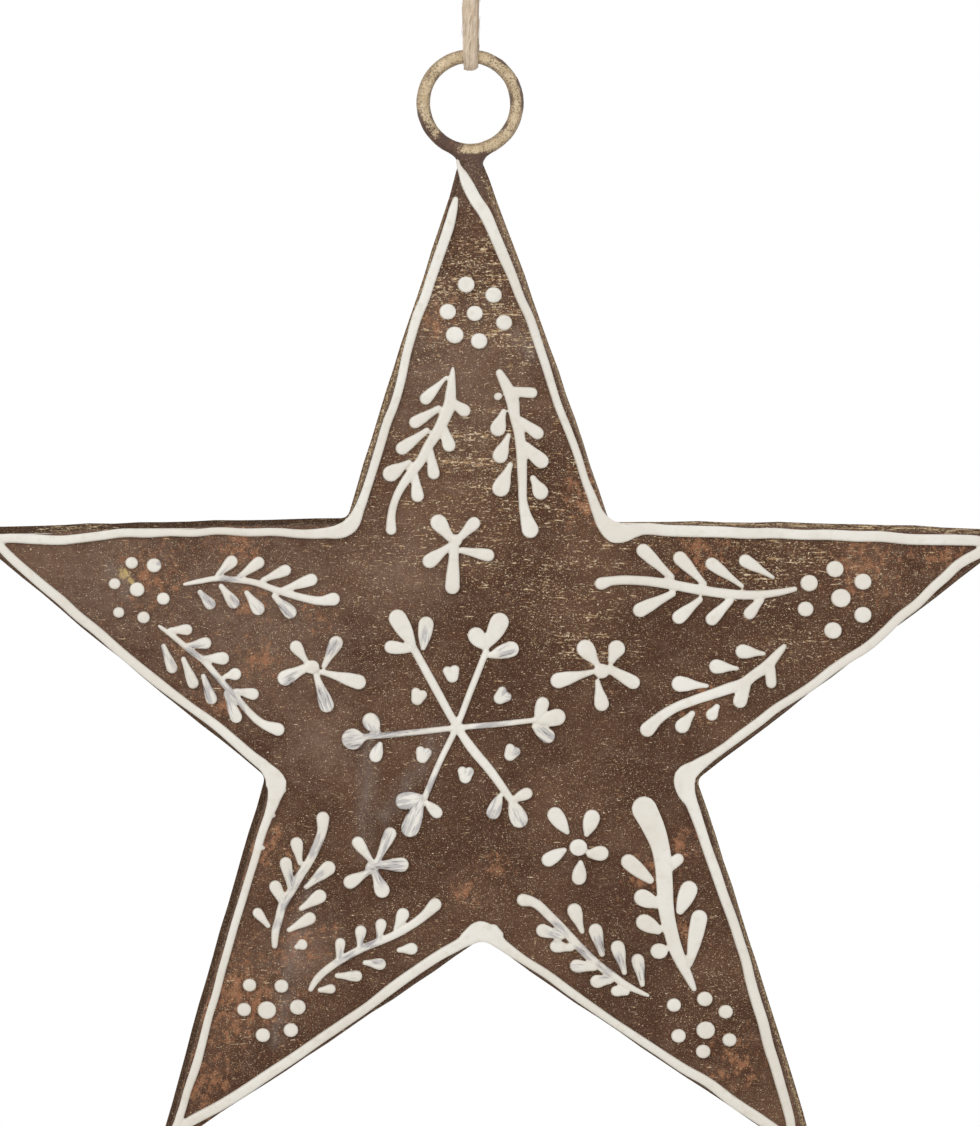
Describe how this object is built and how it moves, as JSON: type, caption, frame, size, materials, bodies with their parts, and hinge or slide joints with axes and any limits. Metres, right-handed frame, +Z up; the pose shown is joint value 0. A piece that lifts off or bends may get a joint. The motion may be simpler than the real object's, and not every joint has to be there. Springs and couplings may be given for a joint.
{
  "type": "christmas ornament",
  "caption": "Hollow sheet-iron star ornament with raised white enamel sprigs, flowers and snowflake, a brazed wire ring and a knotted jute hanging cord.",
  "frame": {"origin": "inner side of the top of the cord's eye, where a hook or twig carries the ornament", "axes": "+Z up along the hanging cord; the star's painted front faces -Y; +X to the right seen from the front"},
  "size_m": [0.1555, 0.0107, 0.2196],
  "materials": {
    "patinated_iron": "dark brown patina over sheet iron, with rust blotches and horizontal streaks of gold flecks",
    "gold_wire": "gold leaf paint on round iron wire, worn dark in specks and brown at the neck",
    "enamel": "thick off-white enamel piped by hand, satin",
    "jute": "soft spun jute twine, fibrous"
  },
  "bodies": {
    "eye": {"hanging_eye": "jute"},
    "knot": {"cord_knot": "jute"},
    "cord": {"hanging_cord": "jute"},
    "star": {"front_shell": "patinated_iron", "back_shell": "patinated_iron", "hanging_ring": "gold_wire", "border_line": "enamel", "snowflake": "enamel", "flower_top": "enamel", "flower_left": "enamel", "flower_right": "enamel", "flower_lower_left": "enamel", "flower_lower_right": "enamel", "sprig_top_left": "enamel", "sprig_top_right": "enamel", "sprig_left_upper": "enamel", "sprig_left_lower": "enamel", "sprig_right_upper": "enamel", "sprig_right_lower": "enamel", "sprig_lower_left_upright": "enamel", "sprig_lower_left_slanted": "enamel", "sprig_lower_right_upright": "enamel", "sprig_lower_right_slanted": "enamel"}
  },
  "joints": [
    {"name": "cord_twist", "type": "hinge", "parent": "eye", "child": "knot", "pos_m": [0, 0, -0.0351], "axis": [0, 0, 1], "range_deg": [-180, 180]},
    {"name": "cord_sway", "type": "hinge", "parent": "knot", "child": "cord", "pos_m": [0, 0, -0.0351], "axis": [0, 1, 0], "range_deg": [-40, 40]},
    {"name": "star_rock", "type": "hinge", "parent": "cord", "child": "star", "pos_m": [0, 0, -0.0537], "axis": [1, 0, 0], "range_deg": [-80, 80]}
  ]
}
